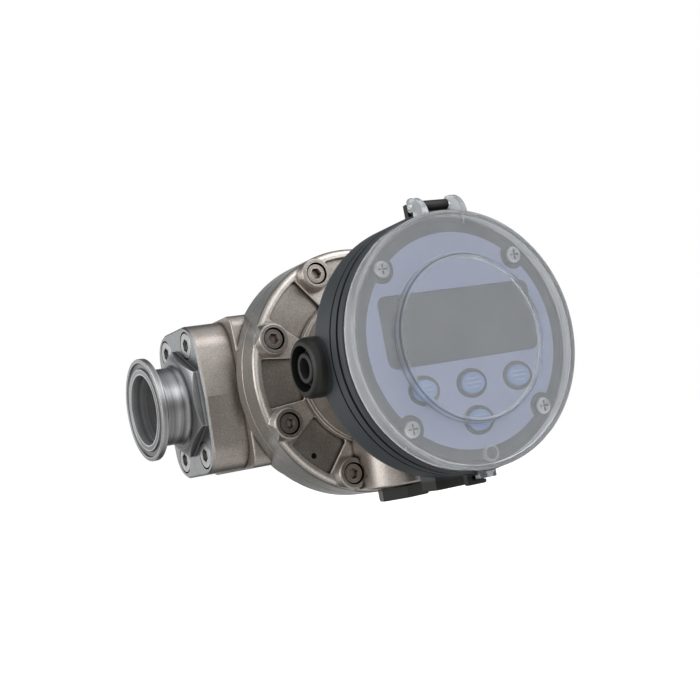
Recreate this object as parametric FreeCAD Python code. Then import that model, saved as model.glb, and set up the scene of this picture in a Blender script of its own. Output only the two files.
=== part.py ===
import FreeCAD, Part
import math
import os

Vector = FreeCAD.Vector

# An oval gear flow meter with clamp ferrules at both ends and a display on the front.
# Sizes are in millimetres. The frame's origin is the middle of the inlet's sealing face, +X runs with the
# flow, +Z is up and the display faces -Y. A depth is a distance from the flow axis towards the display.
# Shapes are drawn about the middle of the meter and moved to the frame when they are written.

# Overall sizes
face_to_face = 195.0
display_r = 57.5

# How far a cutting shape reaches past a surface, and a joined one into it
overlap = 1.0

# How near two points count as one, and how thin a box counts as flat
same_place = 1e-6
flat = 1e-4

# Rounds of turned and moulded edges
fine_round = 0.5
soft_round = 1.0

# Clearances
running_gap = 0.05
thread_gap = 0.05
hole_gap = 0.4
seat_gap = 0.3
rotor_gap = 0.3
label_gap = 0.1
seal_gap = 0.1
switch_gap = 0.2
hinge_gap = 0.4
lid_gap = 0.5

# Clamp ferrule: 1.5 inch tube with a 50.5 mm clamp flange and a hex to screw it in by
bore_r = 17.4
tube_wall = 1.65
gasket_groove_land = 4.35
clamp_land = 3.5
clamp_edge = 2.85
clamp_taper = 20.0
gasket_groove_width = 3.2
gasket_groove_depth = 1.2
ferrule_length = 21.8
hex_land = 2.1
hex_thickness = 5.0
hex_chamfer = 30.0
hex_chamfer_land = 1.0
tube_fillet = 2.2
stub_wall = 3.5
stub_length = 10.0

# Adaptor block between ferrule and body
adaptor_thickness = 18.7
adaptor_width = 55.0
adaptor_draft = 3.0
adaptor_corner = 13.5
adaptor_edge = 1.0
port_r = 14.0
port_screw_land = 6.3
port_screw_side = 13.7
port_screw_end = 9.5
port_ring_land = 5.7
port_ring_width = 3.0
port_ring_depth = 2.4

# Socket screws: shank radius, head radius, head height, key across flats
port_screw = (4.0, 6.5, 8.0, 6.0)
cap_screw = (3.0, 5.0, 6.0, 5.0)
neck_screw = (2.0, 3.5, 3.0, 3.0)
port_screw_grip = 14.0
cap_screw_grip = 10.0
cap_screw_sink = 0.8
neck_screw_grip = 9.0
screw_chamfer = 0.5

# Body casting
boss_front_step = 4.5
boss_rear_step = 2.0
boss_top_step = 0.9
boss_draft = 2.0
boss_edge = 6.0
boss_round = 0.8
flange_back = 25.0
seam = 39.0
flange_edge = 1.2
chamber_wall = 5.0
back_wall = 16.0
drum_edge = 4.0

# Oval gear rotors
rotor_long = 24.0
rotor_short = 15.4
rotor_teeth = 36
tooth_height = 2.2
outline_steps = 40
chamber_depth = 54.0
end_gap = 0.2
shaft_r = 5.0
shaft_seat = 8.0
shaft_tip = 3.5
bush_wall = 2.0
magnet_r = 3.0
magnet_length = 4.0
magnet_inset = 8.5

# Cap casting
cap_ring_land = 2.75
flange_land = 13.3
cap_ring_width = 2.8
cap_ring_depth = 2.2
cap_thickness = 14.0
cap_edge = 2.5
cap_floor = 8.0
screw_boss_r = 7.4
screw_boss_base_r = 8.6
screw_boss_height = 5.0
cap_screw_count = 8
pocket_depth = 2.2
pocket_rim = 4.2
pocket_inner_half_angle = 15.5
pocket_outer_half_angle = 12.3
pocket_corner = 1.2
pocket_edge = 0.4
vent_r = 1.5
vent_depth = 6.0
vent_inset = 4.2
vent_angle = 224.1
hub_width = 3.5
hub_height = 2.0
neck_r = 34.0
neck_draft = 1.5
neck_wall = 7.5
neck_length = 37.0
neck_screw_count = 4
conduit_r = 16.0
conduit_bore_r = 9.5
conduit_stand = 12.5
conduit_inset = 2.2
conduit_root = 2.5
plug_across_flats = 22.0
plug_head = 5.5
plug_collar_r = 10.2
plug_collar = 1.0
plug_thread = 14.0
plug_turn = 10.0
plug_chamfer = 0.8
neck_gasket_thickness = 1.5
sensor_board_thickness = 1.6
sensor_size = (6.0, 3.0, 9.0)

# Display housing: a moulded bowl
shell = 3.0
housing_depth = 35.0
bowl_back_step = 3.0
bowl_back_round = 2.0
bowl_slope_depth = 19.5
bowl_round = 8.0
wire_hole_r = 18.0
entry_r = 13.3
entry_place = 19.5
entry_stand = 6.5
entry_round = 3.0
entry_recess_r = 10.0
entry_recess = 8.5
entry_hole_r = 5.0
keel_width = 16.5
keel_set_back = 5.5
keel_depth = 12.5
keel_drop = 5.0
keel_round = 0.8
post_r = 4.0
post_length = 25.5
seal_wall = 2.25
seal_hole_r = 4.5
seal_base = 3.0
seal_sink = 1.0

# Front cover, label, display and buttons
cover_gasket_thickness = 0.8
cover_gasket_width = 2.4
cover_depth = 10.4
cover_groove_place = 5.1
cover_groove_width = 1.8
cover_groove_depth = 1.0
cover_ledge = 5.0
cover_plate_rise = 1.8
cover_plate = 3.0
cover_rim_wall = 3.5
cover_rim_depth = 3.5
cover_screw_inset = 4.28
cover_screw_r = 2.0
cover_screw_head_r = 3.8
cover_screw_head = 2.2
cover_screw_length = 24.0
cover_screw_round = 1.2
cross_length = 4.6
cross_width = 0.9
cross_depth = 1.2
label_inset = 5.1
label_thickness = 0.4
label_notch_r = 6.2
window_width = 78.0
window_height = 31.2
window_z = 7.1
window_corner = 4.0
display_set_back = 0.2
board_inset = 12.0
board_thickness = 1.6
board_gap = 4.0
standoff_r = 3.0
standoff_x = 24.5
standoff_z = 30.5
button_half_width = 6.0
button_half_height = 4.7
button_places = {"left": (-24.3, -19.0), "centre": (0.0, -19.0), "right": (24.3, -19.0),
                 "lower": (0.0, -35.1)}
button_proud = 1.6
button_dome = 1.0
button_flange_width = 1.1
button_flange = 1.0
button_travel = 0.8
collar_wall = 1.4
collar_height = 0.9
collar_round = 0.4
switch_size = 4.0
battery_r = 7.2
battery_length = 48.0
battery_z = 14.0
terminal_size = (36.0, 11.0, 12.0)
terminal_z = -20.0
terminal_count = 6

# Clear lid with its hinge and finger tab
lid_set_in = 1.0
lid_wall = 2.0
lid_depth = 7.5
lid_step_r = 36.1
lid_step = 3.4
lid_step_draft = 0.9
lid_corner = 1.6
lid_nub_r = 3.2
lid_nub_inset = 6.6
lid_nub_height = 1.2
hinge_set_back = 2.2
hinge_rise = 3.2
pin_r = 1.0
barrel_r = 2.3
barrel_half = 7.8
ear_width = 3.2
ear_back = 2.0
ear_drop = 2.8
ear_top = 3.6
ear_crown = 10.0
ear_rib = 0.6
ear_root = 8.0
ear_round = 0.6
lug_half = 9.2
lug_set_back = 0.3
lug_depth = 3.0
lug_rise = 5.7
catch_half = 4.8
catch_depth = 2.9
catch_drop = 4.8
catch_slot = 0.6
catch_slot_drop = 3.1
catch_eye = 1.6
catch_eye_place = 1.7
tab_half = 4.2
tab_hook = 2.2
tab_thickness = 1.6
tab_drop = 2.4
tab_root = 4.0

# Places that follow from the sizes above
half_length = face_to_face / 2
adaptor_face = half_length - ferrule_length
port_face = adaptor_face - adaptor_thickness
tube_r = bore_r + tube_wall
stub_r = bore_r + stub_wall
gasket_groove_r = bore_r + gasket_groove_land
clamp_r = gasket_groove_r + clamp_land
hex_across_flats = 2 * (stub_r + hex_land)
hex_chamfer_r = stub_r + hex_chamfer_land
port_ring_r = port_r + port_ring_land
port_screw_y = adaptor_width / 2 - port_screw_side
port_screw_z = stub_r + port_screw_land
adaptor_height = 2 * (port_screw_z + port_screw_end)
boss_front = adaptor_width / 2 + boss_front_step
boss_rear = adaptor_width / 2 + boss_rear_step
boss_height = adaptor_height + 2 * boss_top_step
rotor_spacing = rotor_long + rotor_short + rotor_gap
chamber_r = rotor_long + rotor_gap
chamber_back = seam - chamber_depth
body_back = chamber_back - back_wall
bush_r = shaft_r + bush_wall
magnet_place = rotor_long - magnet_inset
cap_ring_r = rotor_spacing / 2 + chamber_r + cap_ring_land
flange_r = cap_ring_r + flange_land
cap_face = seam + cap_thickness
boss_top = cap_face + screw_boss_height
cap_bolt_r = flange_r - screw_boss_r
pocket_inner_r = neck_r + hub_width
pocket_outer_r = flange_r - pocket_rim
hub_face = cap_face + hub_height
sensor_floor = seam + cap_floor
neck_bore_r = neck_r - neck_wall
neck_bolt_r = neck_r - neck_wall / 2
neck_end = cap_face + neck_length
conduit_depth = cap_face + conduit_stand
conduit_bottom = flange_r - conduit_inset
conduit_top = neck_bore_r - conduit_root
housing_back = neck_end + neck_gasket_thickness
housing_front = housing_back + housing_depth
bowl_back_r = neck_r + bowl_back_step
bowl_shoulder = housing_back + bowl_slope_depth
entry_depth = housing_back + entry_place
entry_reach = display_r + entry_stand
seal_tube_r = seal_hole_r + seal_wall
keel_back = housing_back + keel_set_back
post_back = housing_front - post_length
cover_back = housing_front + cover_gasket_thickness
cover_step = cover_back + cover_depth
cover_front = cover_step + cover_plate_rise
cover_plate_r = display_r - cover_ledge
plate_back = cover_front - cover_plate
cover_screw_place = (cover_plate_r - cover_screw_inset) / math.sqrt(2)
label_r = cover_plate_r - label_inset
board_r = display_r - shell - board_inset
board_depth = plate_back - board_gap
button_top = cover_front + label_thickness + button_proud
lid_r = display_r - lid_set_in
lid_back = cover_step + seat_gap
lid_face = lid_back + lid_depth
lid_inner = lid_face - lid_wall
hinge_depth = lid_back - hinge_set_back
hinge_z = display_r + hinge_rise
ear_inner = barrel_half + hinge_gap
ear_outer = ear_inner + ear_width
screw_corners = [(sx * cover_screw_place, sz * cover_screw_place) for sx in (-1, 1) for sz in (-1, 1)]
standoff_corners = [(sx * standoff_x, sz * standoff_z) for sx in (-1, 1) for sz in (-1, 1)]
port_screw_corners = [(sy * port_screw_y, sz * port_screw_z) for sy in (-1, 1) for sz in (-1, 1)]

FRONT = Vector(0, -1, 0)
UP = Vector(0, 0, 1)
FLOW = Vector(1, 0, 0)


def at(x, depth, z):
    """Point at x and z, a depth in front of the flow axis."""
    return Vector(x, -depth, z)


def outline(corners, place):
    """Closed wire through corners (u, v, radius), each rounded by its radius; place sets u and v in space."""
    points = [Vector(u, v, 0) for u, v, radius in corners]
    trims = []
    for index, (u, v, radius) in enumerate(corners):
        to_last = (points[index - 1] - points[index]).normalize()
        to_next = (points[(index + 1) % len(points)] - points[index]).normalize()
        half = to_last.getAngle(to_next) / 2
        reach = radius / math.tan(half)
        bow = radius / math.sin(half) - radius
        inward = (to_last + to_next).normalize() if radius else Vector()
        trims.append([points[index] + to_last * reach, points[index] + inward * bow,
                      points[index] + to_next * reach])
    edges = []
    for index, trim in enumerate(trims):
        start, middle, end = [place(p.x, p.y) for p in trim]
        if corners[index][2]:
            edges.append(Part.Arc(start, middle, end).toShape())
        following = trims[(index + 1) % len(trims)][0]
        next_start = place(following.x, following.y)
        if end.distanceToPoint(next_start) > same_place:
            edges.append(Part.makeLine(end, next_start))
    return Part.Wire(edges)


def solid(shape):
    """The shape as a solid that faces outwards."""
    return shape if shape.Volume > 0 else shape.reversed()


def turned(corners, axis=FRONT, centre=Vector()):
    """Solid of revolution about an axis; corners are (radius, distance along the axis, corner radius)."""
    across = FLOW if axis.isEqual(FRONT, same_place) or axis.isEqual(UP, same_place) else UP
    wire = outline(corners, lambda radius, along: centre + across * radius + axis * along)
    return solid(Part.Face(wire).revolve(centre, axis, 360))


def ring(inner, outer, start, end, axis=FRONT, centre=Vector(), corner=0.0):
    """Flat or tall ring about an axis, from start to end along it."""
    corners = [(inner, start, corner), (outer, start, corner), (outer, end, corner), (inner, end, corner)]
    return turned(corners, axis, centre)


def rod(start, end, radius):
    """Round bar between two points."""
    return Part.makeCylinder(radius, start.distanceToPoint(end), start, end - start)


def peg(x, z, start, end, radius):
    """Round bar along the front axis at x and z, between two depths."""
    return rod(at(x, start, z), at(x, end, z), radius)


def oval(place, start, end, margin):
    """Bar with a button's oval section, larger than the button by a margin, between two depths."""
    x, z = place
    rim = Part.Ellipse(Vector(), button_half_width + margin, button_half_height + margin)
    bar = solid(Part.Face(Part.Wire(rim.toShape())).extrude(UP * (end - start)))
    bar.Placement = FreeCAD.Placement(at(x, start, z), FreeCAD.Rotation(FLOW, 90))
    return bar


def top_edges(shape, depth):
    """Edges of a shape that lie in the plane at a depth."""
    return [edge for edge in shape.Edges
            if abs(edge.BoundBox.YMin + depth) < flat and edge.BoundBox.YLength < flat]


def block(x, depth, z, corner=0.0):
    """Block between pairs of x, depth and z, its edges along the depth rounded by corner."""
    corners = [(x[0], z[0], corner), (x[1], z[0], corner), (x[1], z[1], corner), (x[0], z[1], corner)]
    wire = outline(corners, lambda u, v: at(u, depth[0], v))
    return solid(Part.Face(wire).extrude(FRONT * (depth[1] - depth[0])))


def drafted_bar(front, rear, draft, height, corner, start, end):
    """Cast bar along the flow: its sides lean in from a parting line at mid height, its edges are rounded."""
    half = height / 2
    corners = [(front, 0, 0), (front - draft, half, corner), (draft - rear, half, corner), (-rear, 0, 0),
               (draft - rear, -half, corner), (front - draft, -half, corner)]
    wire = outline(corners, lambda depth, z: at(start, depth, z))
    return solid(Part.Face(wire).extrude(FLOW * (end - start)))


def end_edges(shape, x):
    """Edges of a bar along the flow that lie in its end face at x."""
    return [edge for edge in shape.Edges
            if abs(edge.BoundBox.XMin - x) < flat and edge.BoundBox.XLength < flat]


def hexagon(across_flats, start, height, axis, turn=0.0):
    """Hexagonal prism from a start point along an axis."""
    corner_r = across_flats / math.sqrt(3)
    angles = [math.radians(60 * index + turn) for index in range(7)]
    wire = Part.makePolygon([Vector(corner_r * math.cos(a), corner_r * math.sin(a), 0) for a in angles])
    prism = solid(Part.Face(wire).extrude(UP * height))
    prism.Placement = FreeCAD.Placement(start, FreeCAD.Rotation(UP, axis))
    return prism


def fused(shapes):
    """One clean solid out of several that meet."""
    return shapes[0].fuse(shapes[1:]).removeSplitter()


def around(shape, count, first=0.0):
    """Copies of a shape turned about the meter's front axis."""
    copies = []
    for index in range(count):
        copy = shape.copy()
        copy.rotate(Vector(), FRONT, first + 360 * index / count)
        copies.append(copy)
    return copies


def mirrored(shape):
    """The outlet's copy of a piece of the inlet."""
    return shape.mirror(Vector(), FLOW)


def socket_screw(size, seat, axis, reach):
    """Socket screw: its head sits on the seat and faces along the axis, its shank goes reach deep."""
    shank_r, head_r, head_height, key = size
    profile = [(0, -reach, 0), (shank_r - screw_chamfer, -reach, 0), (shank_r, screw_chamfer - reach, 0),
               (shank_r, 0, 0), (head_r, 0, 0), (head_r, head_height - screw_chamfer, 0),
               (head_r - screw_chamfer, head_height, 0), (0, head_height, 0)]
    screw = turned(profile, UP).cut(hexagon(key, UP * (head_height / 2), head_height, UP))
    screw.Placement = FreeCAD.Placement(seat, FreeCAD.Rotation(UP, axis))
    return screw


def screw_hole(size, seat, axis, clearance_length, grip):
    """Cut for a socket screw: head recess, clearance hole and threaded hole beyond it."""
    shank_r, head_r, head_height, key = size
    cut = [rod(seat, seat + axis * (2 * head_height), head_r + hole_gap),
           rod(seat, seat - axis * clearance_length, shank_r + hole_gap),
           rod(seat, seat - axis * (clearance_length + grip + overlap), shank_r + thread_gap)]
    return fused(cut)


def port_screw_seats():
    """Seats of the inlet adaptor's screw heads, whose tops are flush with the block's face."""
    depth_of_seat = adaptor_face - port_screw[2]
    return [Vector(-depth_of_seat, y, z) for y, z in port_screw_corners]


def cap_screw_seat():
    """Seat of the first cap screw, half a pitch from the top."""
    seat = at(0, boss_top - cap_screw_sink - cap_screw[2], cap_bolt_r)
    turn = FreeCAD.Rotation(FRONT, 180 / cap_screw_count)
    return turn.multVec(seat)


def neck_screw_seat():
    """Seat of the first neck screw on the inside of the housing's back wall."""
    place = neck_bolt_r / math.sqrt(2)
    return at(place, housing_back + shell, place)


def port_screw_clearance():
    return adaptor_thickness - port_screw[2]


def cap_screw_clearance():
    return boss_top - cap_screw_sink - cap_screw[2] - seam


def neck_screw_clearance():
    return shell + neck_gasket_thickness


# Ferrules and adaptors

def inlet_ferrule():
    """Turned clamp ferrule: flange with a gasket groove, tube, chamfered hex and stub."""
    taper = (clamp_r - tube_r) * math.tan(math.radians(clamp_taper))
    hex_front = ferrule_length - hex_thickness
    end = ferrule_length + stub_length
    profile = [(bore_r, 0, 0), (clamp_r, 0, fine_round), (clamp_r, clamp_edge, fine_round),
               (tube_r, clamp_edge + taper, soft_round),
               (tube_r, hex_front, tube_fillet), (hex_chamfer_r, hex_front, 0),
               (hex_chamfer_r, ferrule_length, 0), (stub_r, ferrule_length, 0), (stub_r, end, soft_round),
               (bore_r, end, 0)]
    face = Vector(-half_length, 0, 0)
    body = turned(profile, FLOW, face)
    nut = hexagon(hex_across_flats, face + FLOW * hex_front, hex_thickness, FLOW)
    flare = hex_chamfer_r + hex_thickness / math.tan(math.radians(hex_chamfer))
    chamfer = turned([(bore_r, hex_front, 0), (hex_chamfer_r, hex_front, 0), (flare, ferrule_length, 0),
                      (bore_r, ferrule_length, 0)], FLOW, face)
    half_groove = gasket_groove_width / 2
    groove = ring(gasket_groove_r - half_groove, gasket_groove_r + half_groove, -gasket_groove_depth,
                  gasket_groove_depth, FLOW, face, corner=soft_round)
    return fused([body, nut.common(chamfer)]).cut(groove)


def inlet_adaptor():
    """Cast block with a stepped bore, four screw holes and a seal groove on its inner face."""
    half_width = adaptor_width / 2
    casting = drafted_bar(half_width, half_width, adaptor_draft, adaptor_height, adaptor_corner,
                          -adaptor_face, -port_face)
    casting = casting.makeChamfer(adaptor_edge, end_edges(casting, -adaptor_face))
    face = Vector(-adaptor_face, 0, 0)
    stub_hole_r = stub_r + running_gap
    stub_floor = stub_length + seat_gap
    bore = turned([(0, 0, 0), (stub_hole_r, 0, 0), (stub_hole_r, stub_floor, 0), (bore_r, stub_floor, 0),
                   (port_r, adaptor_thickness, 0), (0, adaptor_thickness, 0)], FLOW, face)
    half_ring = port_ring_width / 2 + seat_gap
    groove = ring(port_ring_r - half_ring, port_ring_r + half_ring, adaptor_thickness - port_ring_depth,
                  adaptor_thickness + overlap, FLOW, face)
    cuts = [bore, groove]
    for seat in port_screw_seats():
        cuts.append(screw_hole(port_screw, seat, -FLOW, port_screw_clearance(), overlap))
    return casting.cut(cuts)


def inlet_screws():
    reach = port_screw_clearance() + port_screw_grip
    return Part.Compound([socket_screw(port_screw, seat, -FLOW, reach) for seat in port_screw_seats()])


def inlet_o_ring():
    """Squeezed seal ring between the adaptor and the body."""
    half = port_ring_width / 2
    return ring(port_ring_r - half, port_ring_r + half, -port_face - port_ring_depth, -port_face, FLOW,
                corner=soft_round)


# Body, rotors and cap

def chamber():
    """Gear chamber: two overlapping rounds, one above the other."""
    lobes = [peg(0, sz * rotor_spacing / 2, chamber_back, seam + overlap, chamber_r)
             for sz in (-1, 1)]
    return fused(lobes)


def meter_body():
    """Casting with the gear chamber, a port boss on each side and the flange that takes the cap."""
    drum_r = chamber_r + chamber_wall
    drum_top = rotor_spacing / 2 + drum_r
    drum = block((-drum_r, drum_r), (body_back, seam - overlap), (-drum_top, drum_top), drum_r)
    drum = drum.makeFillet(drum_edge, [edge for edge in drum.Edges if edge.BoundBox.YMin > -body_back - flat])
    bosses = drafted_bar(boss_front, boss_rear, boss_draft, boss_height, boss_edge, -port_face, port_face)
    bosses = bosses.makeFillet(boss_round, end_edges(bosses, -port_face) + end_edges(bosses, port_face))
    flange = turned([(0, flange_back, 0), (flange_r, flange_back, flange_edge), (flange_r, seam, fine_round),
                     (0, seam, 0)])
    flange = flange.cut([port_relief(), mirrored(port_relief())])
    casting = fused([drum, bosses, flange])
    half_ring = cap_ring_width / 2 + seat_gap / 2
    cuts = [chamber(), rod(Vector(-port_face, 0, 0), Vector(port_face, 0, 0), port_r),
            ring(cap_ring_r - half_ring, cap_ring_r + half_ring, seam - cap_ring_depth, seam + overlap)]
    cuts += [peg(0, z, chamber_back - shaft_seat, seam, shaft_r) for z in rotor_heights()]
    cuts += around(screw_hole(cap_screw, cap_screw_seat(), FRONT, cap_screw_clearance(), cap_screw_grip),
                   cap_screw_count)
    for seat in port_screw_seats():
        hole = screw_hole(port_screw, seat, -FLOW, port_screw_clearance(), port_screw_grip)
        cuts += [hole, mirrored(hole)]
    return casting.cut(cuts)


def port_relief():
    """Room cut out of the flange's rim where the inlet adaptor reaches past it."""
    half = adaptor_height / 2
    return block((-adaptor_face, -port_face), (0, boss_front), (-half, half))


def rotor_heights():
    return (rotor_spacing / 2, -rotor_spacing / 2)


def oval_point(angle, sink):
    """Point of the rotor's outline, sunk below its tooth tips; angle 0 is on the long axis."""
    eccentricity = (rotor_long - rotor_short) / (rotor_long + rotor_short)
    base = rotor_long * (1 - eccentricity)
    swell = 1 - eccentricity * math.cos(2 * angle)
    radius = base / swell
    slope = -base * 2 * eccentricity * math.sin(2 * angle) / swell ** 2
    point = Vector(radius * math.cos(angle), 0, radius * math.sin(angle))
    tangent = Vector(slope * math.cos(angle) - radius * math.sin(angle), 0,
                     slope * math.sin(angle) + radius * math.cos(angle)).normalize()
    return point - Vector(tangent.z, 0, -tangent.x) * sink


def even_angles(count):
    """Angles that split the rotor's outline into equal lengths, starting on the long axis."""
    steps = outline_steps * count
    angles = [2 * math.pi * index / steps for index in range(steps + 1)]
    lengths = [0.0]
    for last, following in zip(angles, angles[1:]):
        lengths.append(lengths[-1] + oval_point(last, 0).distanceToPoint(oval_point(following, 0)))
    even = []
    for index, length in enumerate(lengths[:-1]):
        if length >= lengths[-1] * len(even) / count - same_place:
            even.append(angles[index])
    return even


def oval_gear(long_axis_turn):
    """Toothed oval rotor about the front axis, with holes for its bush and magnets."""
    # Each tooth takes four of the even steps: tip land, flank, root land, flank.
    corners = []
    for index, angle in enumerate(even_angles(4 * rotor_teeth)):
        corners.append(oval_point(angle, 0 if index % 4 < 2 else tooth_height))
    wire = Part.makePolygon(corners + corners[:1])
    length = chamber_depth - 2 * end_gap
    gear = solid(Part.Face(wire).extrude(FRONT * length))
    cuts = [rod(Vector(), FRONT * length, bush_r)]
    cuts += [peg(sx * magnet_place, 0, length - magnet_length, length, magnet_r)
             for sx in (-1, 1)]
    return placed_rotor(gear.cut(cuts), long_axis_turn)


def placed_rotor(shape, long_axis_turn):
    """A rotor piece turned to its rest angle and set into its place in the chamber."""
    height = rotor_heights()[1] if long_axis_turn else rotor_heights()[0]
    shape.rotate(Vector(), FRONT, long_axis_turn)
    shape.translate(at(0, chamber_back + end_gap, height))
    return shape


def rotor_bush(long_axis_turn):
    length = chamber_depth - 2 * end_gap
    return placed_rotor(ring(shaft_r + running_gap, bush_r, 0, length), long_axis_turn)


def rotor_magnets(long_axis_turn):
    length = chamber_depth - 2 * end_gap
    pair = [peg(sx * magnet_place, 0, length - magnet_length, length, magnet_r)
            for sx in (-1, 1)]
    return placed_rotor(Part.Compound(pair), long_axis_turn)


def rotor_shaft(height):
    """Fixed shaft, pressed into the body's back wall and held at its front by the cap."""
    return peg(0, height, chamber_back - shaft_seat, seam + shaft_tip, shaft_r)


def cap_o_ring():
    half = cap_ring_width / 2
    return ring(cap_ring_r - half, cap_ring_r + half, seam - cap_ring_depth, seam, corner=soft_round)


def cap_pocket():
    """Sunk pocket between two screw bosses, at the top of the cap."""
    def rim(radius, degrees):
        angle = math.radians(degrees)
        return at(radius * math.sin(angle), cap_face - pocket_depth, radius * math.cos(angle))
    inner, outer = pocket_inner_half_angle, pocket_outer_half_angle
    near = [rim(pocket_inner_r, angle) for angle in (-inner, 0, inner)]
    far = [rim(pocket_outer_r, angle) for angle in (outer, 0, -outer)]
    edges = [Part.Arc(*near).toShape(), Part.makeLine(near[2], far[0]), Part.Arc(*far).toShape(),
             Part.makeLine(far[2], near[0])]
    tool = solid(Part.Face(Part.Wire(edges)).extrude(FRONT * (2 * pocket_depth)))
    upright = [edge for edge in tool.Edges if abs(edge.BoundBox.YLength - 2 * pocket_depth) < flat]
    return tool.makeFillet(pocket_corner, upright)


def meter_cap():
    """Cast cap: pocketed disc with screw bosses, a hub with the neck for the display, and a conduit boss."""
    disc = turned([(0, seam, 0), (flange_r, seam, fine_round), (flange_r, cap_face, cap_edge),
                   (0, cap_face, 0)])
    flat_r = flange_r - cap_edge
    pockets = around(cap_pocket(), cap_screw_count)
    at_conduit = cap_screw_count // 2
    pockets.pop(at_conduit)
    disc = disc.cut(pockets)
    pocket_rims = [edge for edge in top_edges(disc, cap_face) if edge.BoundBox.XLength < flat_r]
    disc = disc.makeChamfer(pocket_edge, pocket_rims)
    root = cap_face - overlap
    boss = turned([(0, root, 0), (screw_boss_base_r, root, 0), (screw_boss_r, boss_top, soft_round),
                   (0, boss_top, 0)], FRONT, Vector(0, 0, cap_bolt_r))
    bosses = around(boss, cap_screw_count, 180 / cap_screw_count)
    hub = turned([(0, root, 0), (pocket_inner_r, root, 0), (pocket_inner_r, hub_face, soft_round),
                  (neck_r + neck_draft, hub_face, soft_round), (neck_r, neck_end, fine_round),
                  (0, neck_end, 0)])
    conduit = turned([(0, -conduit_bottom, 0), (conduit_r, -conduit_bottom, soft_round),
                      (conduit_r, -conduit_top, 0), (0, -conduit_top, 0)], UP, at(0, conduit_depth, 0))
    foot = block((-conduit_r, conduit_r), (root, conduit_depth), (overlap - conduit_bottom, -conduit_top))
    rim = peg(0, 0, seam, neck_end, flange_r)
    casting = fused([disc] + [shape.common(rim) for shape in bosses + [foot]] + [hub, conduit])
    cuts = [peg(0, 0, sensor_floor, neck_end + overlap, neck_bore_r),
            rod(at(0, conduit_depth, -conduit_bottom - overlap), at(0, conduit_depth, 0),
                conduit_bore_r + thread_gap),
            vent_hole()]
    cuts += [peg(0, z, seam, seam + shaft_tip + seat_gap, shaft_r + running_gap)
             for z in rotor_heights()]
    cuts += around(screw_hole(cap_screw, cap_screw_seat(), FRONT, cap_screw_clearance(), overlap),
                   cap_screw_count)
    cuts += around(screw_hole(neck_screw, neck_screw_seat(), FRONT, neck_screw_clearance(), neck_screw_grip),
                   neck_screw_count)
    return casting.cut(cuts)


def vent_hole():
    """Small blind hole in the floor of the pocket at the lower left."""
    floor = cap_face - pocket_depth
    angle = math.radians(vent_angle)
    reach = pocket_outer_r - vent_inset
    return peg(reach * math.sin(angle), reach * math.cos(angle), floor - vent_depth, floor + overlap, vent_r)


def cap_screws():
    screw = socket_screw(cap_screw, cap_screw_seat(), FRONT, cap_screw_clearance() + cap_screw_grip)
    return Part.Compound(around(screw, cap_screw_count))


def conduit_plug():
    """Blanking plug with a hex head under the conduit boss."""
    mouth = Vector(0, -conduit_depth, -conduit_bottom)
    below = mouth - UP * plug_collar
    head_r = plug_across_flats / math.sqrt(3)
    head = hexagon(plug_across_flats, below - UP * plug_head, plug_head, UP, plug_turn)
    crown = turned([(0, -plug_head, 0), (head_r - plug_chamfer, -plug_head, 0),
                    (head_r, plug_chamfer - plug_head, 0), (head_r, 0, 0), (0, 0, 0)], UP, below)
    collar = rod(below, mouth, plug_collar_r)
    thread = rod(mouth, mouth + UP * plug_thread, conduit_bore_r)
    return fused([head.common(crown), collar, thread])


def sensor_board():
    """Board at the floor of the cap's neck with a magnet sensor over each rotor."""
    board = peg(0, 0, sensor_floor, sensor_floor + sensor_board_thickness, neck_bore_r - seat_gap)
    width, height, length = sensor_size
    top = sensor_floor + sensor_board_thickness
    sensors = [block((-width / 2, width / 2), (top - overlap, top + height), (z - length / 2, z + length / 2))
               for z in (-magnet_place, magnet_place)]
    return fused([board] + sensors)


def neck_gasket():
    gasket = ring(neck_bore_r, neck_r, neck_end, housing_back)
    holes = around(screw_hole(neck_screw, neck_screw_seat(), FRONT, neck_screw_clearance(), overlap),
                   neck_screw_count)
    return gasket.cut(holes)


def neck_screws():
    screw = socket_screw(neck_screw, neck_screw_seat(), FRONT, neck_screw_clearance() + neck_screw_grip)
    return Part.Compound(around(screw, neck_screw_count))


# Display housing

def bowl(wall):
    """The bowl's outside, or its inside when a wall is given."""
    front = housing_front + (overlap if wall else 0)
    corner = bowl_round - wall / 2
    back = housing_back + wall
    side = display_r - wall
    return turned([(0, back, 0), (bowl_back_r - wall / 2, back, bowl_back_round),
                   (side, bowl_shoulder + wall / 2, corner), (side, front, 0), (0, front, 0)])


def entry_profile(radius, reach, start, corner):
    """Round bar along the side entry's axis, from start out to reach on the left."""
    return turned([(0, start, 0), (radius, start, 0), (radius, reach, corner), (0, reach, 0)],
                  -FLOW, at(0, entry_depth, 0))


def display_housing():
    """Moulded bowl behind the display, with the cable entry on its left and a keel at the bottom."""
    outside = bowl(0)
    entry = entry_profile(entry_r, entry_reach, display_r / 2, entry_round)
    keel = block((-keel_width / 2, keel_width / 2), (keel_back, keel_back + keel_depth),
                 (-display_r - keel_drop, -bowl_back_r), keel_round)
    posts = [peg(x, z, post_back, cover_back, post_r) for x, z in screw_corners]
    room = fused([outside, post_reach()])
    walls = fused([outside, entry, keel]).cut(bowl(shell))
    moulding = fused([walls] + [post.common(room) for post in posts])
    cuts = [peg(0, 0, neck_end, housing_back + shell + overlap, wire_hole_r),
            entry_profile(entry_recess_r, entry_reach + overlap, entry_reach - entry_recess, 0),
            entry_profile(entry_hole_r, entry_reach, display_r / 2, 0)]
    cuts += around(screw_hole(neck_screw, neck_screw_seat(), FRONT, neck_screw_clearance(), overlap),
                   neck_screw_count)
    cuts += [cover_screw_hole(x, z) for x, z in screw_corners]
    return moulding.cut(cuts)


def post_reach():
    """Space inside the front rim that the screw posts may stand in."""
    return peg(0, 0, housing_front - overlap, cover_back, display_r - shell)


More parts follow.
